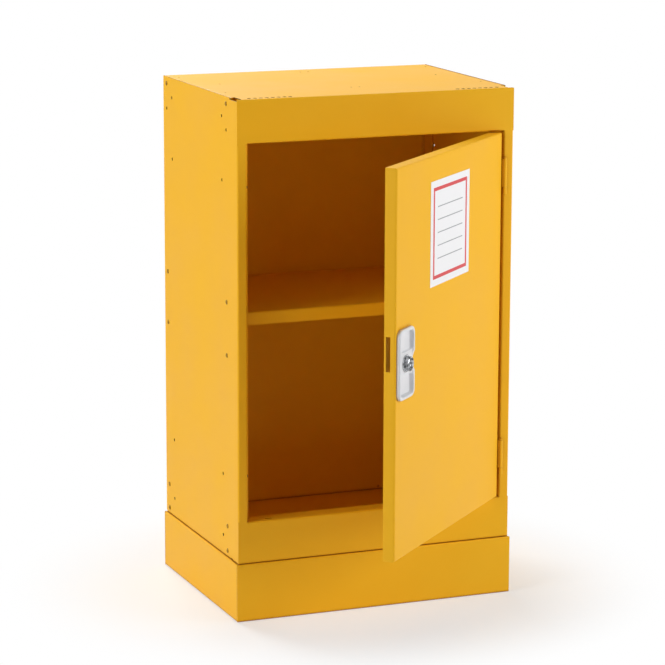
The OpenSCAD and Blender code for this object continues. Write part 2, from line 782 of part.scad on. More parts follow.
cup_w = plate_w - 2 * rim + 2 * cup_wall;
cup_h = plate_h - 2 * rim + 2 * cup_wall;

module door_panel() color(yellow) on_door() difference() {
    union() {
        translate([door_l + door_w / 2, 0, (door_z0 + door_z1) / 2]) rotate([-90, 0, 0])
            tub(door_w, door_h, door_t);
        // Returns behind the four edges
        difference() {
            block([door_l + mid, door_t - sheet, door_z0 + mid], [door_r - mid, door_t, door_z1 - mid]);
            block([door_l + door_return, 0, door_z0 + door_return], [door_r - door_return, door_t + 1, door_z1 - door_return]);
        }
    }
    cam_slot(door_l);
    translate([lock_x, 0, lock_z]) rotate([90, 0, 0]) translate([0, 0, -4]) linear_extrude(8)
        polygon(round_rect(cup_w + 0.6, cup_h + 0.6, plate_r - rim + cup_wall + 0.3));
}

// Hat-shaped stiffener up the middle of the door
module door_stiffener() color(yellow) on_door() {
    x = (door_l + door_r) / 2;
    deep = door_t - sheet - 1;
    w = stiff_w / 2;
    along_z(folded([[x - w - stiff_foot, sheet + mid], [x - w, sheet + mid], [x - w + 5, deep], [x + w - 5, deep],
                    [x + w, sheet + mid], [x + w + stiff_foot, sheet + mid]]),
            door_z0 + stiff_end, door_z1 - stiff_end);
}

module label_blank() color(paper) on_door()
    translate([door_r - label_side - label_w, -label_t, door_z1 - label_top - label_h])
        cube([label_w, label_t, label_h]);

module door_buffers() color(rubber)
    for (z = [sill_z + buffer_end, head_z - buffer_end])
        translate([open_l + stop_lip / 2 + 0.3, return_d - sheet, z]) rotate([90, 0, 0])
            rotate_extrude($fn = 32) polygon([[0, 0], [buffer_r, 0], [buffer_r, buffer_h * 0.4], [buffer_r - 0.8, buffer_h], [0, buffer_h]]);

buffer_h = return_d - sheet - door_t - clear;

// ---------- handle plate and lock ----------

// A finger pocket from the bridge to the rim, on the side of the plate that up points to
module pocket(up) {
    w = plate_w - 2 * rim;
    h = plate_h / 2 - rim - bridge;
    translate([0, up * (bridge + h / 2), cup_wall - cup_depth]) linear_extrude(plate_t + cup_depth + 1)
        polygon(round_rect(w, h, plate_r - rim));
}

module handle_plate() color(plastic) at_lock() difference() {
    union() {
        hull() {
            linear_extrude(plate_t - 1.6) polygon(round_rect(plate_w, plate_h, plate_r));
            linear_extrude(plate_t - 0.6) polygon(round_rect(plate_w - 1, plate_h - 1, plate_r - 0.5));
            linear_extrude(plate_t) polygon(round_rect(plate_w - 2.8, plate_h - 2.8, plate_r - 1.4));
        }
        translate([0, 0, -cup_depth]) linear_extrude(cup_depth + 1)
            polygon(round_rect(cup_w, cup_h, plate_r - rim + cup_wall));
    }
    pocket(1);
    pocket(-1);
    // Lower face of the bridge round the lock
    translate([0, 0, bridge_out]) linear_extrude(plate_t)
        polygon(round_rect(plate_w - 2 * rim, 2 * bridge + 8, 4));
    // Dip in the rim on the hinge side
    translate([0, 0, plate_t - dip_depth + dip_r]) rotate([0, 90, 0]) cylinder(h = plate_w, r = dip_r);
    // Bore for the lock's barrel
    translate([0, 0, -cup_depth - 1]) cylinder(h = cup_depth + plate_t + 2, r = barrel_body + 0.1);
}

barrel_body = barrel_r - shoulder;
nut_t = 1.6;
plug_back = -(cam_depth - cam_t / 2);

// Chromed barrel: a collar on the bridge, a mouth that narrows to the plug, and a threaded body behind it
module lock_barrel() color(chrome) at_lock() rotate_extrude() polygon([
    [plug_r + plug_clear, plug_back + 0.3], [barrel_body, plug_back + 0.3], [barrel_body, bridge_out],
    [barrel_r + collar_w, bridge_out], [barrel_r + collar_w, bridge_out + collar_h * 0.6],
    [barrel_r + collar_w * 0.7, bridge_out + collar_h], [barrel_r, bridge_out + collar_h],
    [barrel_r, barrel_out - 1.2], [barrel_r - 0.4, barrel_out - 0.4], [barrel_r - 1.2, barrel_out],
    [barrel_r - 1.8, barrel_out], [plug_r + plug_clear, barrel_out - plug_recess]]);

module lock_nut() color(zinc) at_lock() translate([0, 0, -cup_depth - nut_t]) difference() {
    cylinder(h = nut_t, r = barrel_body + 4.5, $fn = 6);
    translate([0, 0, -1]) cylinder(h = nut_t + 2, r = barrel_body + 0.05);
}

plug_front = barrel_out - plug_recess - 0.1;

// Plug that the key turns. It is square at the back, where the cam sits.
module lock_plug() color(chrome) at_lock() difference() {
    union() {
        rotate_extrude() polygon([
            [0, plug_back], [plug_r, plug_back], [plug_r, plug_front - 0.6], [plug_r - 0.6, plug_front],
            [0, plug_front]]);
        translate([-3, -3, plug_back - cam_t]) cube([6, 6, cam_t + 1]);
    }
    translate([-key_w / 2, -key_len / 2, plug_front - key_deep]) cube([key_w, key_len, key_deep + 4]);
    translate([0, 0, plug_back - 20]) cylinder(h = 24, r = 1.5);
}

// Arm that turns from upright to lie through the slots behind the stile
module lock_cam() color(zinc) at_lock() translate([0, 0, plug_back - cam_t]) difference() {
    union() {
        cylinder(h = cam_t, r = 8);
        translate([-cam_w / 2, 0, 0]) cube([cam_w, cam_reach - 3, cam_t]);
        translate([-cam_w / 2 + 3, 0, 0]) cube([cam_w - 6, cam_reach, cam_t]);
        for (s = [-1, 1]) translate([s * (cam_w / 2 - 3), cam_reach - 3, 0]) cylinder(h = cam_t, r = 3);
    }
    translate([-3.05, -3.05, -1]) cube([6.1, 6.1, cam_t + 2]);
}

module cam_screw() color(zinc) at_lock() translate([0, 0, plug_back - cam_t]) {
    translate([0, 0, -1.8]) cylinder(h = 1.8, r = 5);
    translate([0, 0, -1]) cylinder(h = 6, r = 1.45);
}

side_panel_left();
side_panel_right();
top_panel();
back_panel();
sump_pan();
front_header();
front_sill();
plinth_front();
plinth_rear();
plinth_side_left();
plinth_side_right();
plinth_bolts();
shelf_bracket_front_left();
shelf_bracket_front_right();
shelf_bracket_rear_left();
shelf_bracket_rear_right();
shelf_clips();
shelf();
carcass_rivets_left();
carcass_rivets_right();
hinge_leaf_frame_upper();
hinge_leaf_frame_lower();
hinge_pin_upper();
hinge_pin_lower();
door_buffers();
door_panel();
door_stiffener();
hinge_leaf_door_upper();
hinge_leaf_door_lower();
handle_plate();
lock_barrel();
lock_nut();
label_blank();
lock_plug();
lock_cam();
cam_screw();
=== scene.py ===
"""Looks for a yellow steel storage cabinet with an open door, on a plinth.

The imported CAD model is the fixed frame. Its folded sheets, hinges and lock stay and get their real finishes. The
finger-pull plate, the rivets and the blank label are made here as finer surfaces. Lengths in the cabinet's classes
are in millimetres, as on a workshop drawing, and become metres where a mesh is written.
"""

import logging
import math
from dataclasses import dataclass
from enum import Enum

import bpy
import numpy as np
from mathutils import Matrix, Vector


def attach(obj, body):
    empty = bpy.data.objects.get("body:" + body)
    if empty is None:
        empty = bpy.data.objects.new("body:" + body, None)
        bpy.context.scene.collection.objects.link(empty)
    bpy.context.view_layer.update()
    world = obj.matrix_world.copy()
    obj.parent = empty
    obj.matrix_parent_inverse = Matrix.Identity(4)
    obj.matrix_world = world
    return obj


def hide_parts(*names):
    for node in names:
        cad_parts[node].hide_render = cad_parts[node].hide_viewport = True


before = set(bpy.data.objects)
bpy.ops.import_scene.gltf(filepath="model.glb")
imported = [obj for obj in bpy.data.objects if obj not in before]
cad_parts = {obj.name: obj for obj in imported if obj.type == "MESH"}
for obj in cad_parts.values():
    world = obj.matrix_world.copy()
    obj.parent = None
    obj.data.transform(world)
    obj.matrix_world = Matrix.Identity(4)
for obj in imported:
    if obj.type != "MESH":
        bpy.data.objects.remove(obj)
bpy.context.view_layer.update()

log = logging.getLogger("cabinet")
MM = 0.001
WHITE = (1.0, 1.0, 1.0, 1.0)
NOISE_LOW, NOISE_HIGH = 0.3, 0.7  # nearly all of a noise's values lie between these

Corners = tuple[tuple[float, float, float], tuple[float, float, float]]  # low and high corner of a box
Profile = tuple[tuple[float, float], ...]  # radius and height of each point
Solid = tuple[np.ndarray, list[np.ndarray]]  # vertices, and arrays of faces


# ---------------------------------------------------------------- colours and nodes


def linear(hex_colour: str) -> tuple[float, float, float, float]:
    """Turns an sRGB hex colour into Blender's linear colour.

    Args:
        hex_colour: six hex digits after a hash sign.

    Returns:
        Red, green, blue and an alpha of 1.
    """
    srgb = np.array([int(hex_colour[i : i + 2], 16) for i in (1, 3, 5)]) / 255
    value = np.where(srgb <= 0.04045, srgb / 12.92, ((srgb + 0.055) / 1.055) ** 2.4)
    return (*(float(v) for v in value), 1.0)


def add_node(
    tree: bpy.types.NodeTree,
    kind: str,
    settings: dict[str, object] | None = None,
    sockets: dict[str | int, object] | None = None,
    links: dict[str | int, bpy.types.NodeSocket] | None = None,
) -> bpy.types.Node:
    """Adds one node to a tree.

    Args:
        tree: the material's node tree.
        kind: Blender's class name of the node.
        settings: properties of the node itself.
        sockets: values of input sockets, by name or number.
        links: outputs of other nodes, by the input that each goes into.

    Returns:
        The new node.
    """
    node = tree.nodes.new(kind)
    for name, value in (settings or {}).items():
        setattr(node, name, value)
    for key, value in (sockets or {}).items():
        node.inputs[key].default_value = value
    for key, source in (links or {}).items():
        tree.links.new(source, node.inputs[key])
    return node


def new_tree(name: str) -> tuple[bpy.types.Material, bpy.types.NodeTree]:
    """Makes an empty node material.

    Args:
        name: the finish's name.

    Returns:
        The material and its tree.
    """
    material = bpy.data.materials.new(name)
    material.use_nodes = True
    material.node_tree.nodes.clear()
    return material, material.node_tree


# ---------------------------------------------------------------- finishes


@dataclass(frozen=True)
class PowderCoat:
    """Polyester powder baked on steel: an even film with a faint orange peel and a soft, wide gloss.

    Seams, tight corners and hollows are darkened by how little open sky a spot sees: painted shade. The sheet's cut
    edges and the walls of punched holes carry painted shade too, which looks dark beside the film.
    """

    name: str = "polyester_powder_coat_yellow"
    thin_film: str = "#F2B317"
    thick_film: str = "#F6BB24"
    # painted shade for seams, corners and hollows, mixed in where ambient occlusion finds little open sky
    seam_painted_shade: str = "#B26C0E"
    painted_shade_mm: float = 6.0  # reach of the painted shade from an edge that shelters a spot
    painted_shade_darkest: float = 0.3  # share of open sky at which the painted shade is darkest
    painted_shade_clear: float = 0.95  # share of open sky from which there is no painted shade
    # painted shade on the sheet's cut edges and in punched holes, whose walls lie in shadow
    edge_painted_shade: str = "#371A03"
    side_sheet: Corners = ((198.88, 3.2, 86.0), (199.92, 300.3, 710.2))  # a side's sheet between its faces
    top_sheet: Corners = ((-195.0, 5.0, 708.88), (195.0, 290.0, 709.92))  # the top's sheet between its faces
    peel_mm: float = 3.2  # real peel is about 1.5 mm, drawn coarser so that it shows
    peel_depth_mm: float = 0.3
    peel_strength: float = 0.14
    mottle_mm: float = 95.0  # slow change of film thickness, a hand's width across
    smooth: float = 0.42
    rough: float = 0.52
    specular: float = 0.15

    def inside(self, tree: bpy.types.NodeTree, spot: bpy.types.NodeSocket, box: Corners) -> bpy.types.NodeSocket:
        """Tells whether a spot is in a box that takes in a sheet's thickness without its two faces.

        The box's half size is taken from the distance to its middle, and all three results are negative inside.

        Args:
            tree: the node tree that the nodes go into.
            spot: the spot, in metres.
            box: low and high corner, in millimetres.

        Returns:
            A socket that is 1 in the box and 0 outside it.
        """
        low, high = (np.array(corner) * MM for corner in box)
        middle, half = tuple((low + high) / 2), tuple((high - low) / 2)
        off = add_node(tree, "ShaderNodeVectorMath", {"operation": "SUBTRACT"}, {1: middle}, {0: spot})
        away = add_node(tree, "ShaderNodeVectorMath", {"operation": "ABSOLUTE"}, None, {0: off.outputs["Vector"]})
        past = add_node(
            tree, "ShaderNodeVectorMath", {"operation": "SUBTRACT"}, {1: half}, {0: away.outputs["Vector"]}
        )
        parts = add_node(tree, "ShaderNodeSeparateXYZ", None, None, {0: past.outputs["Vector"]})
        flat = add_node(
            tree, "ShaderNodeMath", {"operation": "MAXIMUM"}, None, {0: parts.outputs["X"], 1: parts.outputs["Y"]}
        )
        worst = add_node(
            tree, "ShaderNodeMath", {"operation": "MAXIMUM"}, None, {0: flat.outputs[0], 1: parts.outputs["Z"]}
        )
        return add_node(tree, "ShaderNodeMath", {"operation": "LESS_THAN"}, {1: 0.0}, {0: worst.outputs[0]}).outputs[0]

    def material(self) -> bpy.types.Material:
        """Builds the finish.

        Both sides share one box for their cut edges, because the spot is folded over the middle of the width.

        Returns:
            The material.
        """
        made, tree = new_tree(self.name)
        place = add_node(tree, "ShaderNodeTexCoord").outputs["Object"]
        mottle = add_node(
            tree, "ShaderNodeTexNoise", None, {"Scale": 1000 / self.mottle_mm, "Detail": 3.0}, {"Vector": place}
        )
        peel = add_node(
            tree, "ShaderNodeTexNoise", None, {"Scale": 1000 / self.peel_mm, "Detail": 2.0}, {"Vector": place}
        )
        gloss = add_node(
            tree,
            "ShaderNodeMapRange",
            None,
            {"From Min": NOISE_LOW, "From Max": NOISE_HIGH, "To Min": self.smooth, "To Max": self.rough},
            {"Value": mottle.outputs["Fac"]},
        )
        bump = add_node(
            tree,
            "ShaderNodeBump",
            None,
            {"Strength": self.peel_strength, "Distance": self.peel_depth_mm * MM},
            {"Height": peel.outputs["Fac"]},
        )
        film = add_node(
            tree,
            "ShaderNodeMix",
            {"data_type": "RGBA"},
            {6: linear(self.thin_film), 7: linear(self.thick_film)},
            {0: mottle.outputs["Fac"]},
        )
        # Painted shade: ambient occlusion darkens the colour in seams, corners and hollows.
        occlusion = add_node(tree, "ShaderNodeAmbientOcclusion", {"samples": 6}, {"Distance": self.painted_shade_mm * MM})
        unshaded = add_node(
            tree,
            "ShaderNodeMapRange",
            {"interpolation_type": "SMOOTHSTEP"},
            {"From Min": self.painted_shade_darkest, "From Max": self.painted_shade_clear},
            {"Value": occlusion.outputs["AO"]},
        )
        coat = add_node(
            tree,
            "ShaderNodeMix",
            {"data_type": "RGBA"},
            {6: linear(self.seam_painted_shade)},
            {0: unshaded.outputs["Result"], 7: film.outputs[2]},
        )
        # Painted shade: the cut edges and hole walls inside the sheets' boxes take a dark colour.
        folded = add_node(tree, "ShaderNodeVectorMath", {"operation": "ABSOLUTE"}, None, {0: place})
        cut = add_node(
            tree,
            "ShaderNodeMath",
            {"operation": "MAXIMUM"},
            None,
            {
                0: self.inside(tree, folded.outputs["Vector"], self.side_sheet),
                1: self.inside(tree, place, self.top_sheet),
            },
        )
        edged = add_node(
            tree,
            "ShaderNodeMix",
            {"data_type": "RGBA"},
            {7: linear(self.edge_painted_shade)},
            {0: cut.outputs[0], 6: coat.outputs[2]},
        )
        shader = add_node(
            tree,
            "ShaderNodeBsdfPrincipled",
            None,
            {"Specular IOR Level": self.specular},
            {"Base Color": edged.outputs[2], "Roughness": gloss.outputs["Result"], "Normal": bump.outputs["Normal"]},
        )
        add_node(tree, "ShaderNodeOutputMaterial", None, None, {"Surface": shader.outputs["BSDF"]})
        return made


@dataclass(frozen=True)
class MouldedPlastic:
    """ABS from a spark-eroded mould: even colour, a fine grain and a dull sheen."""

    name: str = "moulded_abs_light_grey"
    colour: str = "#E5E5E7"
    shade: str = "#DCDCDF"
    grain_mm: float = 1.2  # real grain is about 0.3 mm, drawn coarser so that it shows
    grain_depth_mm: float = 0.2
    grain_strength: float = 0.1
    flow_mm: float = 25.0  # streaks of pigment as the melt fills the mould
    roughness: float = 0.42

    def material(self) -> bpy.types.Material:
        """Builds the finish.

        Returns:
            The material.
        """
        made, tree = new_tree(self.name)
        place = add_node(tree, "ShaderNodeTexCoord").outputs["Object"]
        grain = add_node(
            tree, "ShaderNodeTexNoise", None, {"Scale": 1000 / self.grain_mm, "Detail": 4.0}, {"Vector": place}
        )
        flow = add_node(
            tree, "ShaderNodeTexNoise", None, {"Scale": 1000 / self.flow_mm, "Detail": 2.0}, {"Vector": place}
        )
        bump = add_node(
            tree,
            "ShaderNodeBump",
            None,
            {"Strength": self.grain_strength, "Distance": self.grain_depth_mm * MM},
            {"Height": grain.outputs["Fac"]},
        )
        resin = add_node(
            tree,
            "ShaderNodeMix",
            {"data_type": "RGBA"},
            {6: linear(self.colour), 7: linear(self.shade)},
            {0: flow.outputs["Fac"]},
        )
        shader = add_node(
            tree,
            "ShaderNodeBsdfPrincipled",
            None,
            {"Roughness": self.roughness},
            {"Base Color": resin.outputs[2], "Normal": bump.outputs["Normal"]},
        )
        add_node(tree, "ShaderNodeOutputMaterial", None, None, {"Surface": shader.outputs["BSDF"]})
        return made


@dataclass(frozen=True)
class Metal:
    """Plated metal. A noise varies its gloss and tint in patches, as handling and polishing do; on chrome the dark
    patches are painted dark reflections.
    """

    name: str
    colour: str
    dull_and_dark_reflection: str
    smooth: float
    rough: float
    patch_mm: float
    patch_low: float = 0.35
    patch_high: float = 0.65

    def material(self) -> bpy.types.Material:
        """Builds the finish.

        Returns:
            The material.
        """
        made, tree = new_tree(self.name)
        place = add_node(tree, "ShaderNodeTexCoord").outputs["Object"]
        patch_noise = add_node(
            tree, "ShaderNodeTexNoise", None, {"Scale": 1000 / self.patch_mm, "Detail": 5.0}, {"Vector": place}
        )
        gloss = add_node(
            tree,
            "ShaderNodeMapRange",
            None,
            {"From Min": NOISE_LOW, "From Max": NOISE_HIGH, "To Min": self.smooth, "To Max": self.rough},
            {"Value": patch_noise.outputs["Fac"]},
        )
        patches = add_node(
            tree,
            "ShaderNodeMapRange",
            None,
            {"From Min": self.patch_low, "From Max": self.patch_high},
            {"Value": patch_noise.outputs["Fac"]},
        )
        # On chrome the dark tint is a painted dark reflection; on zinc and the rivets it is dull plating.
        tint = add_node(
            tree,
            "ShaderNodeMix",
            {"data_type": "RGBA"},
            {6: linear(self.colour), 7: linear(self.dull_and_dark_reflection)},
            {0: patches.outputs["Result"]},
        )
        shader = add_node(
            tree,
            "ShaderNodeBsdfPrincipled",
            None,
            {"Metallic": 1.0},
            {"Base Color": tint.outputs[2], "Roughness": gloss.outputs["Result"]},
        )
        add_node(tree, "ShaderNodeOutputMaterial", None, None, {"Surface": shader.outputs["BSDF"]})
        return made


@dataclass(frozen=True)
class Rubber:
    """Moulded nitrile rubber: nearly black, with a dusty bloom in its pores."""

    name: str = "moulded_nitrile_rubber"
    colour: str = "#1D1D1E"
    bloom: str = "#323233"
    pore_mm: float = 5 / 7  # real pores are about 0.1 mm, drawn coarser so that they show
    roughness: float = 0.8

    def material(self) -> bpy.types.Material:
        """Builds the finish.

        Returns:
            The material.
        """
        made, tree = new_tree(self.name)
        place = add_node(tree, "ShaderNodeTexCoord").outputs["Object"]
        pores = add_node(
            tree, "ShaderNodeTexNoise", None, {"Scale": 1000 / self.pore_mm, "Detail": 3.0}, {"Vector": place}
        )
        dust = add_node(
            tree,
            "ShaderNodeMix",
            {"data_type": "RGBA"},
            {6: linear(self.colour), 7: linear(self.bloom)},
            {0: pores.outputs["Fac"]},
        )
        shader = add_node(
            tree, "ShaderNodeBsdfPrincipled", None, {"Roughness": self.roughness}, {"Base Color": dust.outputs[2]}
        )
        add_node(tree, "ShaderNodeOutputMaterial", None, None, {"Surface": shader.outputs["BSDF"]})
        return made


@dataclass(frozen=True)
class PrintedVinyl:
    """White vinyl film with a printed red frame and grey writing lines. The pattern follows the label's own map."""

    width: float
    height: float
    name: str = "printed_vinyl_film"
    film: str = "#F0F0F2"
    frame_ink: str = "#D2141C"
    line_ink: str = "#8D9095"
    frame_inset: float = 9.0
    frame_line: float = 4.6
    rule_inset: float = 24.0
    rule_pitch: float = 17.0
    rule_line: float = 1.3
    roughness: float = 0.36

    def material(self) -> bpy.types.Material:
        """Builds the finish.

        The map becomes millimetres from the label's middle. Half the size less the distance from the middle is the
        distance to the nearer edge, and the frame's ink lies where the smaller of the two distances compares equal
        to the middle of its line. The writing lines lie where the height, folded by half their pitch, is small.

        Returns:
            The material.
        """
        made, tree = new_tree(self.name)
        half = (self.width / 2, self.height / 2, 0.0)
        spot = add_node(
            tree,
            "ShaderNodeVectorMath",
            {"operation": "MULTIPLY_ADD"},
            {1: (self.width, self.height, 0.0), 2: (-half[0], -half[1], 0.0)},
            {0: add_node(tree, "ShaderNodeTexCoord").outputs["UV"]},
        )
        off_middle = add_node(
            tree, "ShaderNodeVectorMath", {"operation": "ABSOLUTE"}, None, {0: spot.outputs["Vector"]}
        )
        to_edges = add_node(
            tree, "ShaderNodeVectorMath", {"operation": "SUBTRACT"}, {0: half}, {1: off_middle.outputs["Vector"]}
        )
        edges = add_node(tree, "ShaderNodeSeparateXYZ", None, None, {0: to_edges.outputs["Vector"]})
        edge = add_node(
            tree, "ShaderNodeMath", {"operation": "MINIMUM"}, None, {0: edges.outputs["X"], 1: edges.outputs["Y"]}
        )
        frame_mask = add_node(
            tree,
            "ShaderNodeMath",
            {"operation": "COMPARE"},
            {1: self.frame_inset + self.frame_line / 2, 2: self.frame_line / 2},
            {0: edge.outputs[0]},
        )
        up = add_node(tree, "ShaderNodeSeparateXYZ", None, None, {0: spot.outputs["Vector"]})
        fold = add_node(
            tree, "ShaderNodeMath", {"operation": "PINGPONG"}, {1: self.rule_pitch / 2}, {0: up.outputs["Y"]}
        )
        row = add_node(
            tree, "ShaderNodeMath", {"operation": "LESS_THAN"}, {1: self.rule_line / 2}, {0: fold.outputs[0]}
        )
        field = add_node(
            tree, "ShaderNodeMath", {"operation": "GREATER_THAN"}, {1: self.rule_inset}, {0: edge.outputs[0]}
        )
        rule_mask = add_node(
            tree, "ShaderNodeMath", {"operation": "MULTIPLY"}, None, {0: row.outputs[0], 1: field.outputs[0]}
        )
        ruled = add_node(
            tree,
            "ShaderNodeMix",
            {"data_type": "RGBA"},
            {6: linear(self.film), 7: linear(self.line_ink)},
            {0: rule_mask.outputs[0]},
        )
        printed = add_node(
            tree,
            "ShaderNodeMix",
            {"data_type": "RGBA"},
            {7: linear(self.frame_ink)},
            {0: frame_mask.outputs[0], 6: ruled.outputs[2]},
        )
        shader = add_node(
            tree, "ShaderNodeBsdfPrincipled", None, {"Roughness": self.roughness}, {"Base Color": printed.outputs[2]}
        )
        add_node(tree, "ShaderNodeOutputMaterial", None, None, {"Surface": shader.outputs["BSDF"]})
        return made


class Finish(Enum):
    """The finishes of the cabinet, one for each kind of surface."""

    COAT = PowderCoat()
    GREY_ABS = MouldedPlastic()
    # Die-cast zinc polished and plated with nickel and chromium: small, sharp reflections, with painted dark
    # reflections in patches beside bright ones.
    CHROME = Metal("polished_chrome_plate", "#C2C4C7", "#2E3033", 0.08, 0.2, 4.0)
    # Steel plated with zinc in a barrel and passivated clear: pale and a little milky.
    ZINC = Metal("bright_zinc_plate", "#B9BCC0", "#9C9FA4", 0.26, 0.42, 1.5)
    # Steel plated with zinc and passivated yellow: a golden, blotched head.
    RIVET = Metal("yellow_passivated_rivet", "#B4852A", "#6A4A16", 0.38, 0.55, 1.6)
    RUBBER = Rubber()


class Finishes:
    """Makes each finish once and hands it out."""

    def __init__(self) -> None:
        """Starts with no finish made."""
        self.made: dict[str, bpy.types.Material] = {}

    def of(self, finish: Finish) -> bpy.types.Material:
        """Gives a finish's material.

        Args:
            finish: which finish.

        Returns:
            Its material, built on first use.
        """
        if finish.name not in self.made:
            self.made[finish.name] = finish.value.material()
        return self.made[finish.name]

    def dress(self, nodes: tuple[str, ...], finish: Finish) -> None:
        """Gives CAD nodes their finish.

        Args:
            nodes: the nodes' names.
            finish: which finish.
        """
        for node in nodes:
            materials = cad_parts[node].data.materials
            materials.clear()
            materials.append(self.of(finish))
            log.info("%s: %s", node, finish.value.name)


# ---------------------------------------------------------------- surfaces


def rounded_depth(u: np.ndarray, w: np.ndarray, width: float, height: float, radius: float) -> np.ndarray:
    """Distance inside a rounded rectangle centred on the origin.

    The point is folded into one quarter, and its distance to the corner's arc or to the nearer side is taken.

    Args:
        u: across.
        w: up.
        width: size across.
        height: size up.
        radius: of the corners.

    Returns:
        Positive inside the outline, negative outside.
    """
    across = np.abs(u) - (width / 2 - radius)
    up = np.abs(w) - (height / 2 - radius)
    outside = np.hypot(np.maximum(across, 0), np.maximum(up, 0))
    inside = np.minimum(np.maximum(across, up), 0)
    return radius - outside - inside


def ease(value: np.ndarray, start: float, end: float) -> np.ndarray:
    """Smooth step from 0 at start to 1 at end: three t squared less two t cubed."""
    t = np.clip((value - start) / (end - start), 0, 1)
    return t * t * (3 - 2 * t)


def grid_quads(rows: int, columns: int, wrap: bool = False) -> np.ndarray:
    """Quads between the points of a grid that is numbered row by row.

    Args:
        rows: number of rows.
        columns: number of columns.
        wrap: True joins the last column to the first.

    Returns:
        An array of four point numbers a face.
    """
    r = np.arange(rows - 1)[:, None] * columns
    c = np.arange(columns if wrap else columns - 1)[None, :]
    n = (c + 1) % columns
    return np.stack([r + c, r + n, r + columns + n, r + columns + c], axis=-1).reshape(-1, 4)


def outward(points: np.ndarray, faces: list[np.ndarray]) -> list[np.ndarray]:
    """Turns the faces of a closed surface so that they point outwards.

    The volume under a fan of triangles of each face is summed. If it is negative, every face is reversed.

    Args:
        points: the vertices.
        faces: arrays of faces, each with one number of corners.

    Returns:
        The faces, reversed if they pointed inwards.
    """
    volume = 0.0
    for part in faces:
        for i in range(1, part.shape[1] - 1):
            a, b, c = points[part[:, 0]], points[part[:, i]], points[part[:, i + 1]]
            volume += float(np.einsum("ij,ij->", a, np.cross(b, c)))
    return [part[:, ::-1] for part in faces] if volume < 0 else faces


def mesh_object(
    name: str, solid: Solid, material: bpy.types.Material, body: str, smooth: bool = True
) -> bpy.types.Object:
    """Writes arrays into a mesh object at the origin and puts it on a CAD body.

    Args:
        name: the piece's name.
        solid: its vertices in metres, and its faces.
        material: its finish.
        body: the CAD body that it rides on.
        smooth: True shades across its edges, as on a rounded form.

    Returns:
        The new object.
    """
    points, faces = solid
    mesh = bpy.data.meshes.new(name)
    mesh.from_pydata(points.tolist(), [], [f for part in outward(points, faces) for f in part.tolist()])
    mesh.materials.append(material)
    mesh.polygons.foreach_set("use_smooth", np.full(len(mesh.polygons), smooth))
    mesh.update()
    piece = bpy.data.objects.new(name, mesh)
    bpy.context.scene.collection.objects.link(piece)
    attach(piece, body)
    log.info("%s: %d faces on %s", name, len(mesh.polygons), body)
    return piece


def slab(front: np.ndarray, back: np.ndarray) -> Solid:
    """A closed solid between two grids of one size, joined round their borders.

    Args:
        front: points of the front, rows by columns by 3.
        back: points of the back, as many.

    Returns:
        The vertices and the faces.
    """
    rows, columns = front.shape[:2]
    count = rows * columns
    numbers = np.arange(count).reshape(rows, columns)
    rim = np.concatenate([numbers[0, :], numbers[1:, -1], numbers[-1, -2::-1], numbers[-2:0:-1, 0]])
    after = np.roll(rim, -1)
    quads = grid_quads(rows, columns)
    wall = np.stack([after, rim, rim + count, after + count], axis=-1)
    points = np.concatenate([front.reshape(-1, 3), back.reshape(-1, 3)])
    return points, [np.concatenate([quads, quads[:, ::-1] + count, wall])]


def lathe(profile: np.ndarray, segments: int) -> Solid:
    """A closed solid of revolution about the third axis.

    A point at radius r and height h goes to (r cos a, r sin a, h). The first and last points of the profile lie on
    the axis and close it with fans of triangles.

    Args:
        profile: radius and height, from pole to pole.
        segments: number of steps round.

    Returns:
        The vertices and the faces.
    """
    angle = np.arange(segments) * 2 * math.pi / segments
    radius, height = profile[1:-1, 0][:, None], profile[1:-1, 1][:, None]
    rings = np.stack([radius * np.cos(angle), radius * np.sin(angle), height + 0 * angle], axis=-1).reshape(-1, 3)
    ends = np.array([[0, 0, profile[0, 1]], [0, 0, profile[-1, 1]]])
    points = np.concatenate([rings, ends])
    last = len(rings) - segments
    here = np.arange(segments)
    there = (here + 1) % segments
    first_fan = np.stack([np.full(segments, len(rings)), there, here], axis=-1)
    last_fan = np.stack([np.full(segments, len(rings) + 1), last + here, last + there], axis=-1)
    return points, [grid_quads(len(profile) - 2, segments, wrap=True), np.concatenate([first_fan, last_fan])]


def repeated(copies: np.ndarray, faces: list[np.ndarray]) -> Solid:
    """Joins copies of one solid.

    Args:
        copies: already placed vertices of each copy, copies by points by 3.
        faces: the faces of one.

    Returns:
        The vertices and the faces of all copies.
    """
    shift = np.arange(len(copies))[:, None, None] * copies.shape[1]
    return copies.reshape(-1, 3), [(part[None] + shift).reshape(-1, part.shape[1]) for part in faces]


@dataclass(frozen=True)
class DoorPlace:
    """Where the open door stands: pieces are laid out on the shut door and turned about the hinge pins."""

    axis_x: float = 186.3
    axis_y: float = -2.9
    open_degrees: float = 44.0
    lock_x: float = -156.0
    lock_z: float = 396.0

    def turned(self, points: np.ndarray) -> np.ndarray:
        """Turns points of the shut door to the open one.

        Args:
            points: millimetres, last axis X, Y, Z.

        Returns:
            The points in metres.
        """
        a = math.radians(self.open_degrees)
        x, y = points[..., 0] - self.axis_x, points[..., 1] - self.axis_y
        return MM * np.stack(
            [
                self.axis_x + x * math.cos(a) - y * math.sin(a),
                self.axis_y + x * math.sin(a) + y * math.cos(a),
                points[..., 2],
            ],
            axis=-1,
        )

    def from_lock(self, points: np.ndarray) -> np.ndarray:
        """Places points given from the lock's axis: across, up, and out of the door's face."""
        return self.turned(
            np.stack([self.lock_x + points[..., 0], -points[..., 2], self.lock_z + points[..., 1]], axis=-1)
        )


# ---------------------------------------------------------------- sub-assemblies


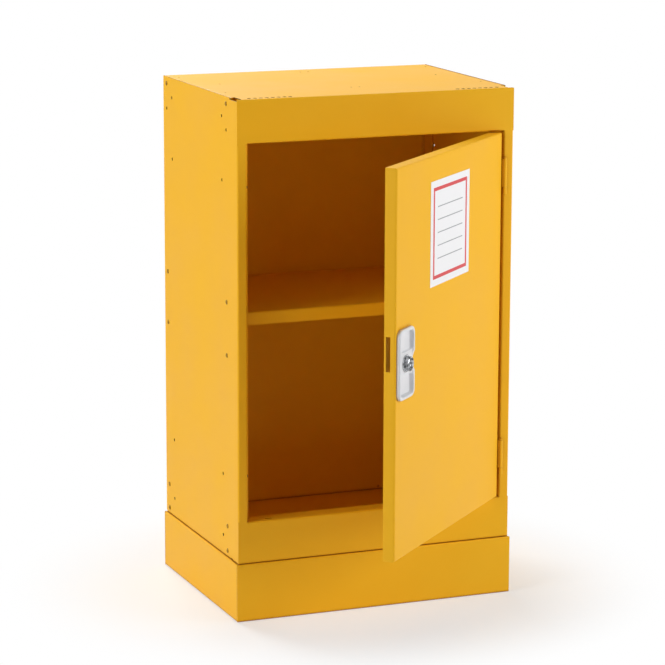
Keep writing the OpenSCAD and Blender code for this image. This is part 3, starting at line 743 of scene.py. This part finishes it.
@dataclass
class Carcass:
    """Folded body, plinth, shelf with its supports and fixed hinge halves, as the CAD has them."""

    finishes: Finishes
    coated: tuple[str, ...] = (
        "side_panel_left",
        "side_panel_right",
        "top_panel",
        "back_panel",
        "sump_pan",
        "front_header",
        "front_sill",
        "plinth_front",
        "plinth_rear",
        "plinth_side_left",
        "plinth_side_right",
        "shelf_bracket_front_left",
        "shelf_bracket_front_right",
        "shelf_bracket_rear_left",
        "shelf_bracket_rear_right",
        "hinge_leaf_frame_upper",
        "hinge_leaf_frame_lower",
        "hinge_pin_upper",
        "hinge_pin_lower",
        "shelf",
    )
    plated: tuple[str, ...] = ("plinth_bolts", "shelf_clips")
    moulded: tuple[str, ...] = ("door_buffers",)

    def build(self) -> None:
        """Gives each node its finish."""
        self.finishes.dress(self.coated, Finish.COAT)
        self.finishes.dress(self.plated, Finish.ZINC)
        self.finishes.dress(self.moulded, Finish.RUBBER)


@dataclass
class RivetRows:
    """Blind rivets in the side panels: domed, passivated heads with the hole that the snapped mandrel leaves."""

    finishes: Finishes
    half_width: float = 200.0
    columns: tuple[float, float] = (42.0, 286.0)
    heights: tuple[float, ...] = (89.0, 123.5, 360.7, 433.7, 700.5)
    head_radius: float = 3.2
    head_height: float = 1.3
    hole_share: float = 0.25  # of the dome's quarter turn, open over the mandrel
    dome_rings: int = 7
    stub: Profile = ((0, 0.6), (0.55, 0.6), (0.7, 0.45), (0.8, 0.5), (0.95, 1.1))  # mandrel and the hole's wall
    shank: Profile = ((1.6, -0.05), (1.6, -2.4))
    tail: Profile = ((2.1, -2.6), (2.0, -3.6), (1.1, -4.2), (0, -4.25))  # spread behind the sheet
    segments: int = 24

    def profile(self) -> np.ndarray:
        """Radius and height of one rivet from the mandrel's stub, over the dome, down the shank to the tail.

        The dome is a quarter of an ellipse: head radius times the sine, head height times the cosine.

        Returns:
            The profile, pole to pole.
        """
        arc = np.linspace(self.hole_share, 1.0, self.dome_rings) * math.pi / 2
        dome = np.stack([self.head_radius * np.sin(arc), self.head_height * np.cos(arc)], axis=-1)
        return np.concatenate([self.stub, dome, self.shank, self.tail])

    def row(self, side: int) -> None:
        """Makes the rivets of one side, which all stand out from it on the width's axis.

        Args:
            side: -1 for the left and 1 for the right.
        """
        points, faces = lathe(self.profile(), self.segments)
        y, z = np.meshgrid(self.columns, self.heights)
        spots = np.stack([y.ravel(), z.ravel()], axis=-1)
        copies = np.stack(
            [
                side * (self.half_width + points[None, :, 2]) + 0 * spots[:, :1],
                points[None, :, 0] + spots[:, :1],
                points[None, :, 1] + spots[:, 1:],
            ],
            axis=-1,
        )
        name = "left" if side < 0 else "right"
        solid = repeated(copies * MM, faces)
        rivets = mesh_object(f"blind_rivets_{name}", solid, self.finishes.of(Finish.RIVET), "carcass")
        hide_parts(f"carcass_rivets_{name}")

    def build(self) -> None:
        """Makes both sides."""
        self.row(-1)
        self.row(1)


@dataclass
class Door:
    """Door pan, stiffener and moving hinge leaves, as the CAD has them."""

    finishes: Finishes
    coated: tuple[str, ...] = ("door_panel", "door_stiffener", "hinge_leaf_door_upper", "hinge_leaf_door_lower")

    def build(self) -> None:
        """Gives each node its finish."""
        self.finishes.dress(self.coated, Finish.COAT)


@dataclass
class FingerPullPlate:
    """Moulded plate round the lock, with a finger pocket above and below it and a dip in its rim at the hinge side."""

    finishes: Finishes
    place: DoorPlace
    width: float = 50.0
    height: float = 92.0
    thickness: float = 5.0
    corner: float = 10.0
    edge_radius: float = 2.2
    rim: float = 4.5
    bridge_half: float = 15.0
    bridge_reach: float = 4.0  # how far the bridge's level runs on over each pocket before that is cut
    bridge_corner: float = 4.0
    bridge_ramp: float = 1.6
    bridge_out: float = 2.6
    pocket_floor: float = -0.6
    pocket_wall: tuple[float, float] = (-0.5, 1.5)  # the drafted wall's top and foot, inwards from its outline
    cup_back: float = -2.0
    cup_wall: float = 1.4
    cup_ramp: float = 0.9
    dip_depth: float = 4.0
    dip_radius: float = 26.0
    dip_ramp: tuple[float, float] = (2.0, 9.0)  # where the dip begins and is full, from the lock's axis
    columns: int = 97
    rows: int = 241

    def grid(self) -> tuple[np.ndarray, np.ndarray]:
        """Lays out points across and up the plate, closer together towards its outline.

        Up is half the height times the sine of a quarter turn times t. Across is the same share of the outline's
        half width at that height, which shrinks along the corners' arcs.

        Returns:
            Across and up, rows by columns.
        """
        share_up = np.sin(np.linspace(-1, 1, self.rows) * math.pi / 2)[:, None]
        share_across = np.sin(np.linspace(-1, 1, self.columns) * math.pi / 2)[None, :]
        w = self.height / 2 * share_up
        past = np.clip(np.abs(w) - (self.height / 2 - self.corner), 0, self.corner)
        half = self.width / 2 - self.corner + np.sqrt(self.corner**2 - past**2)
        return half * share_across, w + 0 * share_across

    def face(self, u: np.ndarray, w: np.ndarray) -> np.ndarray:
        """Height of the moulding's face above the door.

        The rim rounds off along a quarter circle at the outline. Each pocket falls to its floor over a drafted wall,
        the bridge lies a little below the rim, and a cylinder's arc cuts the dip at the hinge side.

        Args:
            u: across, from the lock's axis.
            w: up, from the lock's axis.

        Returns:
            Heights in millimetres.
        """
        inside = rounded_depth(u, w, self.width, self.height, self.corner)
        lean = 1 - np.clip(inside / self.edge_radius, 0, 1)
        height = self.thickness - self.edge_radius * (1 - np.sqrt(1 - lean**2))
        hollow = self.width - 2 * self.rim
        patch = rounded_depth(u, w, hollow, 2 * (self.bridge_half + self.bridge_reach), self.bridge_corner)
        height = height + (self.bridge_out - height) * ease(patch, 0.0, self.bridge_ramp)
        arc = np.sqrt(np.maximum(self.dip_radius**2 - w**2, 1.0))  # 1 keeps the root real beyond the cylinder
        dip = self.thickness - self.dip_depth + self.dip_radius - arc
        height = height + (np.minimum(height, dip) - height) * ease(u, *self.dip_ramp)
        tall = self.height / 2 - self.rim - self.bridge_half
        for up in (-1, 1):
            middle = up * (self.bridge_half + tall / 2)
            well = rounded_depth(u, w - middle, hollow, tall, self.corner - self.rim)
            height = height + (self.pocket_floor - height) * ease(well, *self.pocket_wall)
        return height

    def rear(self, u: np.ndarray, w: np.ndarray) -> np.ndarray:
        """Height of the moulding's rear: level with the door's face, and behind it over the cup.

        Args:
            u: across, from the lock's axis.
            w: up, from the lock's axis.

        Returns:
            Heights in millimetres.
        """
        step = self.rim - self.cup_wall
        cup = rounded_depth(u, w, self.width - 2 * step, self.height - 2 * step, self.corner - step)
        return self.cup_back * ease(cup, 0.0, self.cup_ramp)

    def build(self) -> None:
        """Makes the plate as one closed moulding."""
        u, w = self.grid()
        front = self.place.from_lock(np.stack([u, w, self.face(u, w)], axis=-1))
        back = self.place.from_lock(np.stack([u, w, self.rear(u, w)], axis=-1))
        grey = self.finishes.of(Finish.GREY_ABS)
        plate = mesh_object("finger_pull_plate", slab(front, back), grey, "door")
        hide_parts("handle_plate")


@dataclass
class LockSet:
    """Chromed cylinder and plug, plated nut, cam and screw, as the CAD has them."""

    finishes: Finishes
    chromed: tuple[str, ...] = ("lock_barrel", "lock_plug")
    plated: tuple[str, ...] = ("lock_nut", "lock_cam", "cam_screw")

    def build(self) -> None:
        """Gives each node its finish."""
        self.finishes.dress(self.chromed, Finish.CHROME)
        self.finishes.dress(self.plated, Finish.ZINC)


@dataclass
class BlankLabel:
    """Adhesive label without a message: white film with a red frame and writing lines."""

    place: DoorPlace
    left: float = -71.5
    bottom: float = 478.5
    width: float = 134.0
    height: float = 138.0
    thickness: float = 0.3
    behind: float = 0.02  # gap to the door's face, so that the two don't share a plane
    steps: int = 24

    def build(self) -> None:
        """Makes the film as a closed slab. Its own map runs from 0 to 1 across and up."""
        across, up = np.meshgrid(np.linspace(0, 1, self.steps), np.linspace(0, 1, self.steps))
        x, z = self.left + across * self.width, self.bottom + up * self.height
        front = self.place.turned(np.stack([x, 0 * x - self.thickness, z], axis=-1))
        back = self.place.turned(np.stack([x, 0 * x - self.behind, z], axis=-1))
        film = PrintedVinyl(self.width, self.height).material()
        label = mesh_object("vinyl_label", slab(front, back), film, "door", smooth=False)
        flat = np.stack([across.ravel(), up.ravel()], axis=-1)
        corners = np.zeros(len(label.data.loops), dtype=np.int32)
        label.data.loops.foreach_get("vertex_index", corners)
        layer = label.data.uv_layers.new(name="label_map")
        layer.data.foreach_set("uv", np.concatenate([flat, flat])[corners].astype(np.float32).ravel())
        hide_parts("label_blank")


# ---------------------------------------------------------------- studio


@dataclass(frozen=True)
class Softbox:
    """One square area lamp."""

    name: str
    place: tuple[float, float, float]
    aim: tuple[float, float, float]
    size: float
    watts: float

    def build(self) -> None:
        """Makes the lamp, turned towards its aim."""
        data = bpy.data.lights.new(self.name, "AREA")
        data.shape, data.size, data.energy = "SQUARE", self.size, self.watts
        lamp = bpy.data.objects.new(self.name, data)
        lamp.location = self.place
        lamp.rotation_mode = "QUATERNION"
        lamp.rotation_quaternion = (Vector(self.aim) - Vector(self.place)).to_track_quat("-Z", "Y")
        bpy.context.scene.collection.objects.link(lamp)


@dataclass
class Studio:
    """Pale floor, soft lamps and the camera. Its lengths are in metres."""

    azimuth: float = 21.898
    elevation: float = 11.616
    roll: float = 0.186
    distance: float = 4.11388
    target: tuple[float, float, float] = (-0.004, 0.15, 0.357)
    focal_px: float = 2936.86
    frame_px: float = 665.0
    sensor_mm: float = 36.0
    floor_half: float = 6.0
    floor_points: int = 9
    floor_below: float = 0.0004  # keeps the floor from sharing a plane with the plinth's foot
    floor_colour: str = "#FAFAFA"
    shade_middle: tuple[float, float, float] = (0.0, 0.15, 0.0)
    shade_reach: tuple[float, float] = (0.26, 0.48)  # where the shadow starts to fade and where it is gone
    shade_fill: float = 0.4  # share of plain white that the shadow keeps at its darkest
    lamps: tuple[Softbox, ...] = (
        Softbox("left_softbox", (-2.6, -0.4, 1.2), (0, 0.1, 0.4), 1.6, 36.0),
        Softbox("right_softbox", (2.4, -1.6, 1.2), (0, 0.0, 0.4), 1.6, 55.0),
        Softbox("rear_softbox", (-0.3, 1.8, 2.0), (0, 0.2, 0.6), 1.2, 38.0),
        Softbox("top_softbox", (-0.2, 0.3, 2.8), (0, 0.1, 0.5), 1.8, 12.0),
    )
    world_strength: float = 0.13

    def camera(self) -> None:
        """Sets the camera at the photograph's angle, found from the cabinet's corners."""
        a, e, r = (math.radians(v) for v in (self.azimuth, self.elevation, self.roll))
        forward = np.array([math.sin(a) * math.cos(e), math.cos(a) * math.cos(e), -math.sin(e)])
        level = np.array([math.cos(a), -math.sin(a), 0.0])
        above = np.cross(level, forward)
        right = math.cos(r) * level + math.sin(r) * above
        up = math.cos(r) * above - math.sin(r) * level
        data = bpy.data.cameras.new("camera")
        data.sensor_width = self.sensor_mm
        data.lens = self.sensor_mm * self.focal_px / self.frame_px
        data.clip_start, data.clip_end = 0.05, 60.0
        camera = bpy.data.objects.new("camera", data)
        turn = Matrix(np.stack([right, up, -forward], axis=1).tolist()).to_4x4()
        camera.matrix_world = Matrix.Translation(Vector(self.target) - Vector(forward) * self.distance) @ turn
        bpy.context.scene.collection.objects.link(camera)
        bpy.context.scene.camera = camera

    def unlit_share(self, tree: bpy.types.NodeTree) -> bpy.types.NodeSocket:
        """Tells what the camera, gloss and glass see, which is plain white, from the light on the object.

        Args:
            tree: the node tree that the nodes go into.

        Returns:
            A socket that is 1 for those rays and 0 for light.
        """
        ray = add_node(tree, "ShaderNodeLightPath")
        seen = add_node(
            tree,
            "ShaderNodeMath",
            {"operation": "MAXIMUM"},
            None,
            {0: ray.outputs["Is Camera Ray"], 1: ray.outputs["Is Glossy Ray"]},
        )
        return add_node(
            tree,
            "ShaderNodeMath",
            {"operation": "MAXIMUM"},
            None,
            {0: seen.outputs[0], 1: ray.outputs["Is Transmission Ray"]},
        ).outputs[0]

    def floor(self) -> None:
        """Lays the floor. It shows the object's shadow near it and fades to plain white further out."""
        side = np.linspace(-self.floor_half, self.floor_half, self.floor_points)
        x, y = np.meshgrid(side, side)
        mesh = bpy.data.meshes.new("studio_floor")
        points = np.stack([x.ravel(), y.ravel(), np.full(x.size, -self.floor_below)], axis=-1)
        mesh.from_pydata(points.tolist(), [], grid_quads(self.floor_points, self.floor_points).tolist())
        made, tree = new_tree("matt_white_floor")
        place = add_node(tree, "ShaderNodeTexCoord").outputs["Object"]
        reach = add_node(
            tree, "ShaderNodeVectorMath", {"operation": "DISTANCE"}, {1: self.shade_middle}, {0: place}
        )
        fade = add_node(
            tree,
            "ShaderNodeMapRange",
            {"interpolation_type": "SMOOTHSTEP"},
            {"From Min": self.shade_reach[0], "From Max": self.shade_reach[1], "To Min": self.shade_fill},
            {"Value": reach.outputs["Value"]},
        )
        share = add_node(
            tree,
            "ShaderNodeMath",
            {"operation": "MULTIPLY"},
            None,
            {0: fade.outputs["Result"], 1: self.unlit_share(tree)},
        )
        matt = add_node(tree, "ShaderNodeBsdfDiffuse", None, {"Color": linear(self.floor_colour)})
        white = add_node(tree, "ShaderNodeEmission", None, {"Color": WHITE, "Strength": 1.0})
        both = add_node(
            tree,
            "ShaderNodeMixShader",
            None,
            None,
            {0: share.outputs[0], 1: matt.outputs[0], 2: white.outputs[0]},
        )
        add_node(tree, "ShaderNodeOutputMaterial", None, None, {"Surface": both.outputs[0]})
        mesh.materials.append(made)
        floor = bpy.data.objects.new("studio_floor", mesh)
        bpy.context.scene.collection.objects.link(floor)

    def world(self) -> None:
        """Sets an even white surround."""
        world = bpy.data.worlds.new("studio_surround")
        world.use_nodes = True
        tree = world.node_tree
        tree.nodes.clear()
        light = add_node(tree, "ShaderNodeBackground", None, {"Color": WHITE, "Strength": self.world_strength})
        seen = add_node(tree, "ShaderNodeBackground", None, {"Color": WHITE, "Strength": 1.0})
        both = add_node(
            tree,
            "ShaderNodeMixShader",
            None,
            None,
            {0: self.unlit_share(tree), 1: light.outputs[0], 2: seen.outputs[0]},
        )
        add_node(tree, "ShaderNodeOutputWorld", None, None, {"Surface": both.outputs[0]})
        bpy.context.scene.world = world

    def build(self) -> None:
        """Sets up the whole studio."""
        bpy.context.scene.view_settings.view_transform = "Standard"
        self.camera()
        self.floor()
        self.world()
        for lamp in self.lamps:
            lamp.build()


def main() -> None:
    """Builds the studio and dresses the cabinet, sub-assembly by sub-assembly."""
    logging.basicConfig(level=logging.INFO, format="%(name)s %(message)s")
    finishes, place = Finishes(), DoorPlace()
    Studio().build()
    for part in (
        Carcass(finishes),
        RivetRows(finishes),
        Door(finishes),
        FingerPullPlate(finishes, place),
        LockSet(finishes),
        BlankLabel(place),
    ):
        part.build()
        log.info("built %s", type(part).__name__)


if __name__ == "__main__":
    main()
